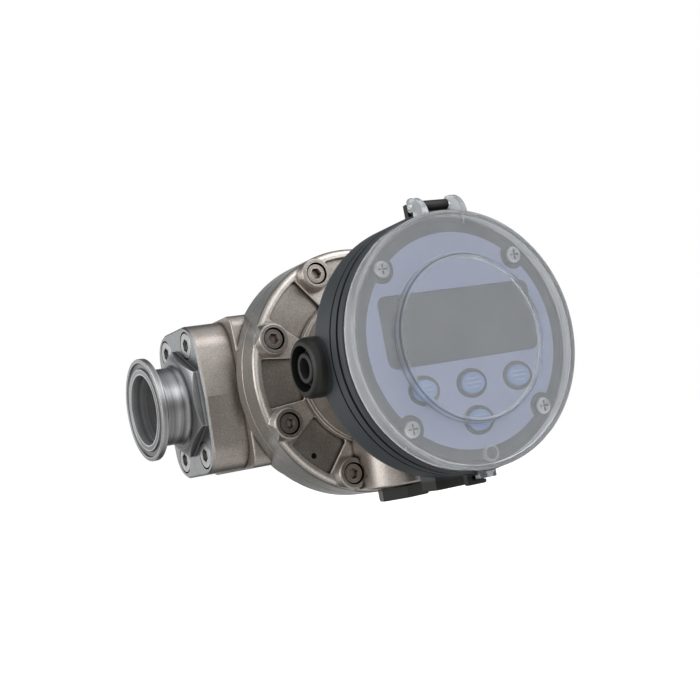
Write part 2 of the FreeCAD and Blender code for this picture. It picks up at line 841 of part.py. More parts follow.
def cable_seal():
    """Rubber seal in the cable entry: a base in the recess and a tube that grips the cable."""
    floor = entry_reach - entry_recess
    step = floor + seal_base
    mouth = entry_reach - seal_sink
    base_r = entry_recess_r - seal_gap
    profile = [(seal_hole_r, floor, 0), (base_r, floor, fine_round), (base_r, step, fine_round),
               (seal_tube_r, step, soft_round), (seal_tube_r, mouth, soft_round),
               (seal_hole_r, mouth, fine_round)]
    return turned(profile, -FLOW, at(0, entry_depth, 0))


# Front cover and what it carries

def cover_screw_hole(x, z):
    """Threaded hole in the housing's post below a cover screw."""
    tip = cover_front - cover_screw_length - overlap
    return peg(x, z, tip, cover_back + overlap, cover_screw_r + thread_gap)


def cover_gasket():
    return ring(display_r - shell, display_r - shell + cover_gasket_width, housing_front, cover_back)


def window(gap, start, end):
    """Block through the display window, smaller than it by a gap all round."""
    half_width = window_width / 2 - gap
    half_height = window_height / 2 - gap
    return block((-half_width, half_width), (start, end), (window_z - half_height, window_z + half_height),
                 window_corner - gap)


def hinge_lug():
    """Lug at the top of the cover: a wide back, and a web with the hinge barrel between the lid's ears."""
    lug_back = cover_back + lug_set_back
    low = display_r - shell
    base = block((-lug_half, lug_half), (lug_back, lug_back + lug_depth), (low, display_r + lug_rise),
                 fine_round)
    web = block((-barrel_half, barrel_half), (lug_back, hinge_depth), (low, hinge_z + barrel_r))
    barrel = rod(at(-barrel_half, hinge_depth, hinge_z), at(barrel_half, hinge_depth, hinge_z), barrel_r)
    return [base, web, barrel]


def seal_catch():
    """Small lug at the bottom of the cover, behind the lid's tab, with a slot and an eye for a seal wire."""
    front = cover_back + catch_depth
    low = -display_r - catch_drop
    catch = block((-catch_half, catch_half), (cover_back, front), (low, shell - display_r), soft_round)
    slot_z = -display_r - catch_slot_drop
    middle = (cover_back + front) / 2
    slot = block((-catch_half / 2, catch_half + overlap), (middle, front + overlap),
                 (slot_z, slot_z + catch_slot))
    eye_z = -display_r - catch_eye_place
    half = catch_eye / 2
    eye = block((-catch_half / 2, catch_eye - catch_half / 2), (cover_back + overlap, front + overlap),
                (eye_z - half, eye_z + half))
    return catch.cut([slot, eye])


def button_collar(place):
    """Raised oval collar round a button, with a rounded edge."""
    top = cover_front + collar_height
    collar = oval(place, plate_back, top, seat_gap + collar_wall)
    return collar.makeFillet(collar_round, top_edges(collar, top))


def front_cover():
    """Moulded cover: ring, plate with the window, button collars, screw bosses, hinge lug and catch."""
    rim_r = cover_plate_r - cover_rim_wall
    groove_r = display_r - cover_groove_depth
    groove_back = cover_back + cover_groove_place
    groove_front = groove_back + cover_groove_width
    rim_back = plate_back - cover_rim_depth
    body = turned([(display_r - shell, cover_back, 0), (display_r, cover_back, fine_round),
                   (display_r, groove_back, 0), (groove_r, groove_back, 0), (groove_r, groove_front, 0),
                   (display_r, groove_front, 0), (display_r, cover_step, soft_round),
                   (cover_plate_r, cover_step, 0), (cover_plate_r, cover_front, soft_round),
                   (0, cover_front, 0), (0, plate_back, 0), (rim_r, plate_back, 0), (rim_r, rim_back, 0),
                   (display_r - shell, rim_back, 0)])
    collars = [button_collar(place) for place in button_places.values()]
    pillars = [peg(x, z, cover_back, cover_front - overlap, post_r) for x, z in screw_corners]
    standoffs = [peg(x, z, board_depth, cover_front - overlap, standoff_r) for x, z in standoff_corners]
    moulding = fused([body] + collars + pillars + standoffs + hinge_lug() + [seal_catch()])
    cuts = [window(0, board_depth - overlap, cover_front + overlap),
            rod(at(-lug_half, hinge_depth, hinge_z), at(lug_half, hinge_depth, hinge_z), pin_r)]
    cuts += [oval(place, plate_back - overlap, button_top, seat_gap) for place in button_places.values()]
    cuts += [peg(x, z, cover_back - overlap, cover_front + overlap, cover_screw_r + hole_gap)
             for x, z in screw_corners]
    return moulding.cut(cuts)


def cover_screws():
    """Four pan-head screws with a cross recess."""
    screws = []
    for x, z in screw_corners:
        head = cover_front + cover_screw_head
        tip = cover_front - cover_screw_length
        profile = [(0, tip, 0), (cover_screw_r, tip, 0), (cover_screw_r, cover_front, 0),
                   (cover_screw_head_r, cover_front, 0), (cover_screw_head_r, head, cover_screw_round),
                   (0, head, 0)]
        screw = turned(profile, FRONT, Vector(x, 0, z))
        slots = [block((x - long, x + long), (head - cross_depth, head + overlap), (z - wide, z + wide))
                 for long, wide in ((cross_length / 2, cross_width / 2), (cross_width / 2, cross_length / 2))]
        screws.append(screw.cut(slots))
    return Part.Compound(screws)


def fascia_label():
    """Printed label on the cover's plate, cut out round the window, the button collars and the screws."""
    top = cover_front + label_thickness
    sheet = peg(0, 0, cover_front, top, label_r)
    cuts = [window(0, cover_front - overlap, top + overlap)]
    cuts += [oval(place, cover_front, top, seat_gap + collar_wall + label_gap)
             for place in button_places.values()]
    cuts += [peg(x, z, cover_front, top, label_notch_r) for x, z in screw_corners]
    return sheet.cut(cuts)


def lcd_module():
    """Display module: glass in the window and its backing on the circuit board."""
    return window(seat_gap, board_depth, cover_front + label_thickness - display_set_back)


def circuit_board():
    """Round board behind the plate with a key switch under each button."""
    board = peg(0, 0, board_depth - board_thickness, board_depth, board_r)
    half = switch_size / 2
    top = plate_back - button_flange - button_travel - switch_gap
    switches = [block((x - half, x + half), (board_depth - overlap, top), (z - half, z + half), fine_round)
                for x, z in button_places.values()]
    return fused([board] + switches)


def battery():
    """Cell lying across the back of the circuit board."""
    middle = board_depth - board_thickness - battery_r
    end = battery_length / 2
    return turned([(0, -end, 0), (battery_r, -end, fine_round), (battery_r, end, fine_round), (0, end, 0)],
                  FLOW, at(0, middle, battery_z))


def terminal_block():
    """Row of wire terminals on the back of the circuit board."""
    width, depth, height = terminal_size
    back = board_depth - board_thickness
    low = terminal_z - height / 2
    rail = block((-width / 2, width / 2), (back - depth, back), (low, low + height), fine_round)
    pitch = width / terminal_count
    places = [-width / 2 + pitch * (index + 0.5) for index in range(terminal_count)]
    mouths = [peg(x, terminal_z, back - depth, back - depth / 2, pitch / 3) for x in places]
    return rail.cut(mouths)


def push_button(place):
    """Domed oval push button with a flange that keeps it behind the plate."""
    stem = oval(place, plate_back - button_flange, button_top, 0)
    stem = stem.makeFillet(button_dome, top_edges(stem, button_top))
    flange = oval(place, plate_back - button_flange, plate_back, button_flange_width)
    return fused([stem, flange])


# Clear lid

def lid_dish(inside):
    """The lid's outside, or the space inside it."""
    wall = lid_wall if inside else 0
    back = lid_back - (overlap if inside else 0)
    face = lid_face - wall
    corner = fine_round if inside else lid_corner
    return turned([(0, back, 0), (lid_r - wall, back, 0), (lid_r - wall, face, corner),
                   (lid_step_r - wall / 2 + lid_step_draft, face, fine_round),
                   (lid_step_r - wall / 2, face + lid_step, soft_round), (0, face + lid_step, 0)])


def lid_ear(side):
    """Hinge ear: an eye on the hinge axis, crowned at the front, that ends as a rib on the lid's face."""
    back = hinge_depth - ear_back
    low = hinge_z - ear_drop
    top = hinge_z + ear_top
    front = lid_face + ear_rib
    foot = lid_r - ear_root
    corners = [(back, low, ear_back), (back, top, ear_back), (front, top, ear_crown), (front, foot, 0),
               (lid_back, foot, 0), (lid_back, low, 0)]
    wire = outline(corners, lambda depth, z: at(side * ear_inner, depth, z))
    ear = solid(Part.Face(wire).extrude(FLOW * side * ear_width))
    crown = [edge for edge in ear.Edges
             if edge.BoundBox.XLength < flat and edge.BoundBox.ZMax > top - ear_crown
             and edge.BoundBox.YMin < -lid_face]
    return ear.makeFillet(ear_round, crown)


def finger_tab():
    """Hooked tab at the bottom of the lid that reaches back under the cover's rim."""
    low = -display_r - tab_drop
    front = lid_back + tab_thickness
    hook = block((-tab_half, tab_half), (lid_back - tab_hook, front), (low, -display_r - lid_gap), fine_round)
    root = block((-tab_half, tab_half), (lid_back, front), (low + fine_round, tab_root - lid_r))
    return [hook, root]


def clear_lid():
    """Clear dished lid with a raised middle, hinge ears, a finger tab and a nub inside."""
    dish = fused([lid_dish(False), lid_ear(-1), lid_ear(1)] + finger_tab()).cut(lid_dish(True))
    nub = peg(0, lid_nub_inset - lid_r, lid_inner - lid_nub_height, lid_inner + overlap, lid_nub_r)
    reach = ear_outer + overlap
    pin_hole = rod(at(-reach, hinge_depth, hinge_z), at(reach, hinge_depth, hinge_z), pin_r + running_gap)
    return fused([dish, nub]).cut(pin_hole)


def hinge_pin():
    return rod(at(-ear_outer, hinge_depth, hinge_z), at(ear_outer, hinge_depth, hinge_z), pin_r)


def pieces():
    """Every node of the meter by name."""
    inlet = {"ferrule": inlet_ferrule(), "adaptor": inlet_adaptor(), "adaptor_screws": inlet_screws(),
             "o_ring": inlet_o_ring()}
    nodes = {}
    for name, shape in inlet.items():
        nodes["inlet_" + name] = shape
        nodes["outlet_" + name] = mirrored(shape)
    nodes["meter_body"] = meter_body()
    nodes["meter_cap"] = meter_cap()
    nodes["cap_o_ring"] = cap_o_ring()
    nodes["cap_screws"] = cap_screws()
    for name, turn, height in (("upper", 0, rotor_heights()[0]), ("lower", 90, rotor_heights()[1])):
        nodes["rotor_" + name] = oval_gear(turn)
        nodes["rotor_" + name + "_bush"] = rotor_bush(turn)
        nodes["rotor_" + name + "_magnets"] = rotor_magnets(turn)
        nodes["rotor_" + name + "_shaft"] = rotor_shaft(height)
    nodes["conduit_plug"] = conduit_plug()
    nodes["sensor_board"] = sensor_board()
    nodes["neck_gasket"] = neck_gasket()
    nodes["neck_screws"] = neck_screws()
    nodes["display_housing"] = display_housing()
    nodes["cable_seal"] = cable_seal()
    nodes["cover_gasket"] = cover_gasket()
    nodes["front_cover"] = front_cover()
    nodes["cover_screws"] = cover_screws()
    nodes["fascia_label"] = fascia_label()
    nodes["lcd_module"] = lcd_module()
    nodes["circuit_board"] = circuit_board()
    nodes["battery"] = battery()
    nodes["terminal_block"] = terminal_block()
    for name, place in button_places.items():
        nodes["button_" + name] = push_button(place)
    nodes["clear_lid"] = clear_lid()
    nodes["hinge_pin"] = hinge_pin()
    return nodes


os.makedirs("parts", exist_ok=True)
for node, shape in pieces().items():
    shape.translate(FLOW * half_length)
    shape.exportStep("parts/" + node + ".step")
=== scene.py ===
import math

import bmesh
import bpy
from bpy.props import FloatProperty, FloatVectorProperty, IntProperty, PointerProperty
from mathutils import Matrix, Vector


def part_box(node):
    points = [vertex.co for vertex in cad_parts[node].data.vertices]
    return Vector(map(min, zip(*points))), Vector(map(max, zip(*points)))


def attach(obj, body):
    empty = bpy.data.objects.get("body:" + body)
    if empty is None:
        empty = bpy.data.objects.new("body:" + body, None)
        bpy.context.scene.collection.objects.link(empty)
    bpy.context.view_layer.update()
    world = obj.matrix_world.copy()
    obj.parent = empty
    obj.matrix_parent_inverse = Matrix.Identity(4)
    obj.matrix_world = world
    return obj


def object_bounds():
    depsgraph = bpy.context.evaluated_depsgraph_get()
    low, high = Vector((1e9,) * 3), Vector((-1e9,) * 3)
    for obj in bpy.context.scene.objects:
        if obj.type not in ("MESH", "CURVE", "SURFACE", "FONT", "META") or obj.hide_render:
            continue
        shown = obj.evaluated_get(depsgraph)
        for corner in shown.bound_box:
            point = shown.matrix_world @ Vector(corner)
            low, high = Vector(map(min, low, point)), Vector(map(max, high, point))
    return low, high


bl_info = {
    "name": "Oval Gear Flow Meter Finish",
    "version": (1, 0, 0),
    "blender": (4, 5, 0),
    "location": "View3D > Sidebar > Flow Meter",
    "description": "Finishes an oval gear flow meter and sets it in a plain studio",
    "category": "Object",
}

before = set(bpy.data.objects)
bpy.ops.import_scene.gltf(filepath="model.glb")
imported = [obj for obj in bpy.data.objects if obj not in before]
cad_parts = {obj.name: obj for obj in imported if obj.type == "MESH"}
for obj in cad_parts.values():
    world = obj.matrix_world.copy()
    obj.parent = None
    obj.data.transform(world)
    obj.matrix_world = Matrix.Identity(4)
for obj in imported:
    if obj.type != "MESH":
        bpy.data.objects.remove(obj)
cad_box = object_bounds()
cap_low, cap_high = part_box("meter_cap")

MILLIMETRE = 0.001
WHITE = (1, 1, 1)
# The cap, the display and the lid share one axis, which runs from front to back.
AXIS = ((cap_low.x + cap_high.x) / 2, 0, 0)
RIM_R = (cap_high.x - cap_low.x) / 2
PAD_REACH = AXIS[0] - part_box("inlet_adaptor")[0].x
# Cosine of the most that a face of the turned rim leans from straight out.
RIM_LEAN = 0.97
# A noise texture's values lie mostly between these two.
NOISE_LOW = 0.3
NOISE_HIGH = 0.7
# Radians that a wave texture turns through in a length of one, at a scale of one.
WAVE_TURN = 20


def linear(code):
    """Linear colour of an sRGB hex code."""
    channels = [int(code[start:start + 2], 16) / 255 for start in (1, 3, 5)]
    return [c / 12.92 if c <= 0.04045 else ((c + 0.055) / 1.055) ** 2.4 for c in channels]


def colour(name, description, code):
    """Colour setting with an sRGB default."""
    return FloatVectorProperty(name=name, description=description, subtype="COLOR", size=3, min=0, max=1,
                               default=linear(code))


def length(name, description, millimetres):
    """Length setting with a default in millimetres."""
    return FloatProperty(name=name, description=description, subtype="DISTANCE", unit="LENGTH", precision=5,
                         min=0, default=millimetres * MILLIMETRE)


def angle(name, description, degrees):
    """Angle setting with a default in degrees."""
    return FloatProperty(name=name, description=description, subtype="ANGLE", unit="ROTATION",
                         default=math.radians(degrees))


def point(name, description, metres):
    """Place setting with a default in metres."""
    return FloatVectorProperty(name=name, description=description, subtype="TRANSLATION", unit="LENGTH",
                               size=3, default=metres)


def power(name, description, watts):
    """Setting of a light's power."""
    return FloatProperty(name=name, description=description, subtype="POWER", unit="POWER", min=0,
                         default=watts)


class FlowMeterFinish(bpy.types.PropertyGroup):
    """Colours and surface sizes of the meter."""
    casting: colour("Casting", "Blasted cast stainless steel", "#b7b0aa")
    cap_land: colour("Cap face", "Ground front face of the cap, between its pockets", "#e6dfd9")
    # Painted highlight, drawn lighter along the edges of the castings and the screws.
    casting_edge_highlight: colour("Casting edge", "Edges of the castings, rubbed bright", "#dcd7d2")
    # Painted shade, drawn darker in the corners of the castings and the ferrules.
    crevice_shade: colour("Crevice", "Dark oil and dust in the corners of the castings", "#4a423c")
    rim: colour("Rim", "Turned rim of the flange", "#bfbebb")
    machined: colour("Machined face", "Milled end faces of the castings", "#b3b7ba")
    ferrule: colour("Ferrule", "Turned stainless steel of the ferrules", "#c4c7ca")
    ferrule_band: colour("Ferrule band", "Darker bands of the turned stainless steel", "#8b898b")
    # Painted highlight, drawn lighter along the edges of the ferrules.
    ferrule_edge_highlight: colour("Ferrule edge", "Edges of the ferrules, rubbed bright", "#eef2f2")
    screw: colour("Screws", "Plain stainless steel of the screws", "#d6d8d8")
    cap_screw: colour("Cap screws", "Oiled steel of the cap screws", "#b8aea6")
    # Painted shade, drawn dark in the sockets of the screws.
    socket_shade: colour("Socket grime", "Dark oil in the sockets of the screws", "#151312")
    gear: colour("Gears", "Machined steel of the oval gears", "#b9bcbf")
    bush: colour("Bushes", "Pressed carbon of the gears' bushes", "#2b2b2d")
    housing: colour("Housing", "Moulded plastic of the housing and cover", "#393f43")
    # Painted shade, drawn dark in the seams and corners of the housing and cover.
    seam: colour("Seam", "Dark of the housing's seams", "#15171b")
    # Own black of the conduit plug and terminal block, also used as painted shade on the housing's lugs.
    black_plug_and_lug_shade: colour("Plug", "Black plastic of the conduit plug and of the housing's lugs", "#151412")
    rubber: colour("Seals", "Black rubber of the seals", "#2a2b2b")
    film: colour("Label", "Printed film of the label", "#b7c0e2")
    display: colour("Display", "Grey display behind its glass", "#565b60")
    button: colour("Buttons", "Pale blue keys", "#9dbaee")
    button_print: colour("Button print", "Pale print on the keys", "#e8eef8")
    lid: colour("Lid", "Clear plastic of the lid", "#eef1f4")
    # Painted shade: the finger tab drawn grey.
    lid_tab_shade: colour("Lid tab", "Finger tab of the lid, grey where light is lost in it", "#a4a9ac")
    # Painted shade: a grey line drawn along the step's edge.
    lid_edge_shade: colour("Lid step edge", "Edge of the lid's step, grey where light is lost in it", "#8e94a4")
    board: colour("Boards", "Solder resist of the boards", "#1d5a34")
    cell: colour("Battery", "Film wrap of the battery", "#3f7d4a")
    blast_grain: length("Blast grain", "Width of the marks left by bead blasting", 0.55)
    blast_depth: length("Blast depth", "Depth of the marks left by bead blasting", 0.06)
    mould_grain: length("Mould grain", "Width of the moulded plastic's fine texture", 0.6)
    mould_depth: length("Mould depth", "Depth of the moulded plastic's fine texture", 0.005)
    patch: length("Patch", "Width of the broad patches in a surface's shade", 9.0)
    turning_pitch: length("Turning pitch", "Distance between turning marks", 0.6)
    turning_depth: length("Turning depth", "Depth of the turning marks", 0.006)
    feed_band: length("Feed band", "Width of the lighter and darker bands of the turned steel", 2.4)
    # Reach of the painted shade in corners, bores and sockets.
    crevice_shade_reach: length("Crevice reach", "How far oil and dust spread out of a corner", 2.2)
    # Reach of the painted highlight along edges.
    edge_highlight_reach: length("Edge reach", "How far the rubbing reaches from an edge", 0.45)
    # Reach of the painted shade in the housing's seams and corners.
    seam_shade_reach: length("Seam reach", "How far the dark of a seam spreads in the moulded plastic", 4.0)
    cap_face: length("Cap face place", "From the flow's axis to the cap's front face", 53.0)
    bore_r: length("Bore", "Radius of the ferrules' bore", 17.45)
    lug_start: length("Lug start", "Radius at which the housing's lugs start", 58.0)
    lid_wall: length("Lid wall", "Radius at which the lid's side wall starts", 54.0)
    lid_tab_drop: length("Lid tab drop", "Distance of the lid's finger tab below the middle", 56.5)
    lid_step_r: length("Lid step", "Radius of the step in the lid's face", 35.6)
    # Place and width of the painted shade line along the step.
    lid_edge_r: length("Lid edge", "Radius of the grey line along the step's edge", 35.95)
    lid_edge_width: length("Lid edge width", "Width of the grey line along the step's edge", 0.6)
    nub_drop: length("Nub drop", "Distance of the lid's nub below the middle", 49.9)
    nub_r: length("Nub radius", "Radius of the lid's nub", 3.2)


class FlowMeterDetail(bpy.types.PropertyGroup):
    """Sizes of the print on the keys."""
    line_length: length("Line length", "Length of the line across a key", 7.4)
    dash_length: length("Dash length", "Length of a dash above or below the line", 1.1)
    dash_gap: length("Dash gap", "Space between two dashes", 0.5)
    row_space: length("Row space", "From the line to a row of dashes", 1.9)
    print_width: length("Print width", "Width of a line or dash", 0.45)
    print_height: length("Print height", "How far the print stands out of a key", 0.12)
    upper_dashes: IntProperty(name="Upper dashes", description="Dashes above the line", default=4, min=0)
    lower_dashes: IntProperty(name="Lower dashes", description="Dashes below the line", default=3, min=0)


class FlowMeterStage(bpy.types.PropertyGroup):
    """Camera, lights and floor."""
    distance: length("Camera distance", "From the camera to the point it looks at", 655.34)
    azimuth: angle("Camera azimuth", "Turn of the camera about the vertical", -28.91)
    elevation: angle("Camera elevation", "Height of the camera above the horizon", -4.38)
    roll: angle("Camera roll", "Tilt of the picture", -10.67)
    lens: FloatProperty(name="Lens", description="Focal length in millimetres on a 36 mm sensor",
                        unit="CAMERA", default=66.37, min=10)
    target: point("Target", "Point the camera and the lights look at", (0.10285, -0.030, 0.0122))
    floor_drop: length("Floor drop", "Space between the meter and the floor", 240)
    floor_size: length("Floor size", "Width of the floor", 30000)
    floor: colour("Floor", "Pale floor", "#f6f6f6")
    sky: colour("Light above", "Studio light from above the horizon", "#dcdcdc")
    ground: colour("Light below", "Studio light from below the horizon", "#ceccca")
    flag: colour("Dark at the back", "Unlit studio behind the meter, above and below it", "#3f4448")
    key_place: point("Key place", "Where the key softbox stands", (1.1, -1.5, 1.15))
    key_width: length("Key width", "Width of the key softbox", 1900)
    key_height: length("Key height", "Height of the key softbox", 1200)
    key_power: power("Key power", "Power of the key softbox", 13)
    side_place: point("Side place", "Where the side softbox stands", (-1.7, 0.3, 0.4))
    side_width: length("Side width", "Width of the side softbox", 1200)
    side_height: length("Side height", "Height of the side softbox", 1000)
    side_power: power("Side power", "Power of the side softbox", 12)


def add(tree, kind, sockets, **settings):
    """Adds a node; settings are its options, sockets its inputs, each a value or another node's output."""
    made = tree.nodes.new(kind)
    for name, value in settings.items():
        setattr(made, name, value)
    for name, value in sockets.items():
        if isinstance(value, bpy.types.NodeSocket):
            tree.links.new(value, made.inputs[name])
        else:
            made.inputs[name].default_value = value
    return made


def finish_of(name, values):
    """New material with the shader's plain values set; returns it with its tree, shader and coordinates."""
    material = bpy.data.materials.new(name)
    material.use_nodes = True
    tree = material.node_tree
    shader = tree.nodes["Principled BSDF"]
    for socket, value in values.items():
        shader.inputs[socket].default_value = value
    place = add(tree, "ShaderNodeTexCoord", {}).outputs["Object"]
    return material, tree, shader, place


def about_axis(tree, place):
    """Offset across the display's axis, and the radius there."""
    offset = add(tree, "ShaderNodeVectorMath", {0: place, 1: AXIS}, operation="SUBTRACT").outputs[0]
    across = add(tree, "ShaderNodeVectorMath", {0: offset, 1: (1, 0, 1)}, operation="MULTIPLY").outputs[0]
    radius = add(tree, "ShaderNodeVectorMath", {0: across}, operation="LENGTH").outputs["Value"]
    return across, radius


def occlusion_mask(tree, reach, start, full, inside=False):
    """Mask of a shape's corners, or with inside of its edges, between two shares of open space; it places
    painted shade in corners and painted highlights on edges.
    """
    shade = add(tree, "ShaderNodeAmbientOcclusion", {"Distance": reach}, samples=6, inside=inside)
    return add(tree, "ShaderNodeMapRange", {
        "Value": shade.outputs["AO"], "From Min": start, "From Max": full}).outputs[0]


def layered(tree, tint, layers):
    """Lays colours over a first one, each by its own mask."""
    tint = (*tint, 1)
    for share, over in layers:
        tint = add(tree, "ShaderNodeMix", {0: share, 6: tint, 7: (*over, 1)}, data_type="RGBA").outputs[2]
    return tint


def speckled(tree, shader, place, tint, grain, depth, fine_spread, patch, patch_spread):
    """Grain in a surface and in its shade; tint is a colour or a node's output, and a spread is how far the
    shade goes to each side of it."""
    fine = add(tree, "ShaderNodeTexNoise", {"Vector": place, "Scale": 1 / grain, "Detail": 2.0})
    broad = add(tree, "ShaderNodeTexNoise", {"Vector": place, "Scale": 1 / patch, "Detail": 3.0})
    if not isinstance(tint, bpy.types.NodeSocket):
        tint = (*tint, 1)
    for noise, spread in ((fine, fine_spread), (broad, patch_spread)):
        shade = add(tree, "ShaderNodeMapRange", {
            "Value": noise.outputs["Fac"], "From Min": NOISE_LOW, "From Max": NOISE_HIGH,
            "To Min": 1 - spread, "To Max": 1 + spread})
        tint = add(tree, "ShaderNodeMix", {0: 1.0, 6: tint, 7: shade.outputs[0]}, data_type="RGBA",
                   blend_type="MULTIPLY").outputs[2]
    bump = add(tree, "ShaderNodeBump", {"Height": fine.outputs["Fac"], "Distance": depth})
    tree.links.new(tint, shader.inputs["Base Color"])
    tree.links.new(bump.outputs["Normal"], shader.inputs["Normal"])
    return bump


def dress(names, material):
    """Puts one finish on CAD nodes."""
    for name in names:
        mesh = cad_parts[name].data
        mesh.materials.clear()
        mesh.materials.append(material)


def cast_stainless(finish):
    """Cast stainless steel, bead-blasted: a warm soft grey with a fine sparkle, painted shade darkening its
    corners and a painted highlight along its edges. The cap's face is lighter; the rim is turned and the
    ends are milled, which is smoother and bluer. The marks of the beads are drawn coarse enough to show."""
    material, tree, shader, place = finish_of("Bead-blasted cast stainless steel", {"Metallic": 1.0})
    across, radius = about_axis(tree, place)
    outward = add(tree, "ShaderNodeVectorMath", {0: across}, operation="NORMALIZE").outputs[0]
    facing = add(tree, "ShaderNodeNewGeometry", {}).outputs["True Normal"]
    lean = add(tree, "ShaderNodeVectorMath", {0: outward, 1: facing},
               operation="DOT_PRODUCT").outputs["Value"]
    upright = add(tree, "ShaderNodeMath", {0: lean, 1: RIM_LEAN}, operation="GREATER_THAN").outputs[0]
    on_rim = add(tree, "ShaderNodeMath", {0: radius, 1: RIM_R, 2: MILLIMETRE},
                 operation="COMPARE").outputs[0]
    turned = add(tree, "ShaderNodeMath", {0: on_rim, 1: upright}, operation="MULTIPLY").outputs[0]
    depth = add(tree, "ShaderNodeSeparateXYZ", {0: place}).outputs["Y"]
    # Lighter colour on the cap's front face, between its pockets.
    ground = add(tree, "ShaderNodeMath", {0: depth, 1: -finish.cap_face, 2: MILLIMETRE / 2},
                 operation="COMPARE").outputs[0]
    sideways = add(tree, "ShaderNodeSeparateXYZ", {0: across}).outputs["X"]
    reach = add(tree, "ShaderNodeMath", {0: sideways}, operation="ABSOLUTE").outputs[0]
    milled = add(tree, "ShaderNodeMath", {0: reach, 1: PAD_REACH - MILLIMETRE / 2},
                 operation="GREATER_THAN").outputs[0]
    # Painted highlight along the edges.
    edge_highlight = occlusion_mask(tree, finish.edge_highlight_reach, start=0.9, full=0.5, inside=True)
    # Painted shade, darker in the corners.
    recess_shade = occlusion_mask(tree, finish.crevice_shade_reach, start=0.85, full=0.35)
    tint = layered(tree, finish.casting, (
        (ground, finish.cap_land), (turned, finish.rim), (milled, finish.machined),
        (edge_highlight, finish.casting_edge_highlight), (recess_shade, finish.crevice_shade)))
    speckled(tree, shader, place, tint, finish.blast_grain, finish.blast_depth, fine_spread=0.22,
             patch=finish.patch, patch_spread=0.07)
    smooth = add(tree, "ShaderNodeMath", {0: turned, 1: milled}, operation="MAXIMUM").outputs[0]
    rough = add(tree, "ShaderNodeMapRange", {"Value": smooth, "To Min": 0.42, "To Max": 0.3}).outputs[0]
    tree.links.new(rough, shader.inputs["Roughness"])
    return material


def turned_stainless(finish):
    """Turned stainless steel: satin with rings about its axis, lighter and darker by the feed of the tool,
    with a painted highlight along its edges, rough in its bore and with painted shade in its bore and
    corners. The rings are drawn coarse enough to show."""
    material, tree, shader, place = finish_of("Turned stainless steel", {"Metallic": 1.0})
    from_flow = add(tree, "ShaderNodeVectorMath", {0: place, 1: (0, 1, 1)}, operation="MULTIPLY").outputs[0]
    radius = add(tree, "ShaderNodeVectorMath", {0: from_flow}, operation="LENGTH").outputs["Value"]
    rough = add(tree, "ShaderNodeMapRange", {
        "Value": radius, "From Min": finish.bore_r + MILLIMETRE / 2, "From Max": finish.bore_r,
        "To Min": 0.4, "To Max": 0.7}).outputs[0]
    tree.links.new(rough, shader.inputs["Roughness"])
    # The bands change along the flow, and fifty times less across it.
    along = add(tree, "ShaderNodeVectorMath", {0: place, 1: (1, 1 / 50, 1 / 50)},
                operation="MULTIPLY").outputs[0]
    feed = add(tree, "ShaderNodeTexNoise", {"Vector": along, "Scale": 1 / finish.feed_band, "Detail": 3.0})
    band = add(tree, "ShaderNodeMapRange", {"Value": feed.outputs["Fac"], "From Min": 0.35,
                                            "From Max": 0.65}).outputs[0]
    # Painted highlight along the edges.
    edge_highlight = occlusion_mask(tree, 2 * finish.edge_highlight_reach, start=0.95, full=0.6, inside=True)
    # Painted shade in the bore and corners.
    bore_and_corner_shade = occlusion_mask(tree, 3 * finish.crevice_shade_reach, start=0.9, full=0.4)
    tint = layered(tree, finish.ferrule, (
        (band, finish.ferrule_band), (bore_and_corner_shade, finish.crevice_shade), (edge_highlight, finish.ferrule_edge_highlight)))
    bump = speckled(tree, shader, place, tint, finish.turning_pitch, finish.turning_depth, fine_spread=0.05,
                    patch=finish.patch, patch_spread=0.08)
    rings = add(tree, "ShaderNodeTexWave", {
        "Vector": place, "Scale": math.tau / finish.turning_pitch / WAVE_TURN, "Distortion": 1.0,
        "Detail": 2.0}, bands_direction="X")
    turned = add(tree, "ShaderNodeBump", {"Height": rings.outputs["Fac"], "Distance": finish.turning_depth,
                                          "Normal": bump.outputs["Normal"]})
    tree.links.new(turned.outputs["Normal"], shader.inputs["Normal"])
    return material


def screw_steel(finish, name, tint, roughness, reach):
    """Cold-headed steel: smooth from the die, with a painted highlight along its edges and painted shade in
    the sockets.
    """
    material, tree, shader, place = finish_of(name, {"Metallic": 1.0, "Roughness": roughness})
    # Painted shade in the sockets.
    recess_shade = occlusion_mask(tree, finish.crevice_shade_reach, start=0.68, full=0.4)
    # Painted highlight along the edges of the heads.
    edge_highlight = occlusion_mask(tree, reach, start=0.9, full=0.55, inside=True)
    tint = layered(tree, tint, ((recess_shade, finish.socket_shade), (edge_highlight, finish.casting_edge_highlight)))
    speckled(tree, shader, place, tint, finish.blast_grain, finish.turning_depth, fine_spread=0.06,
             patch=finish.patch / 4, patch_spread=0.12)
    return material


def gear_steel(finish):
    """Milled steel gears: even grey with a light tool grain."""
    material, tree, shader, place = finish_of("Milled steel", {"Metallic": 1.0, "Roughness": 0.35})
    speckled(tree, shader, place, finish.gear, finish.turning_pitch, finish.turning_depth, fine_spread=0.06,
             patch=finish.patch, patch_spread=0.08)
    return material


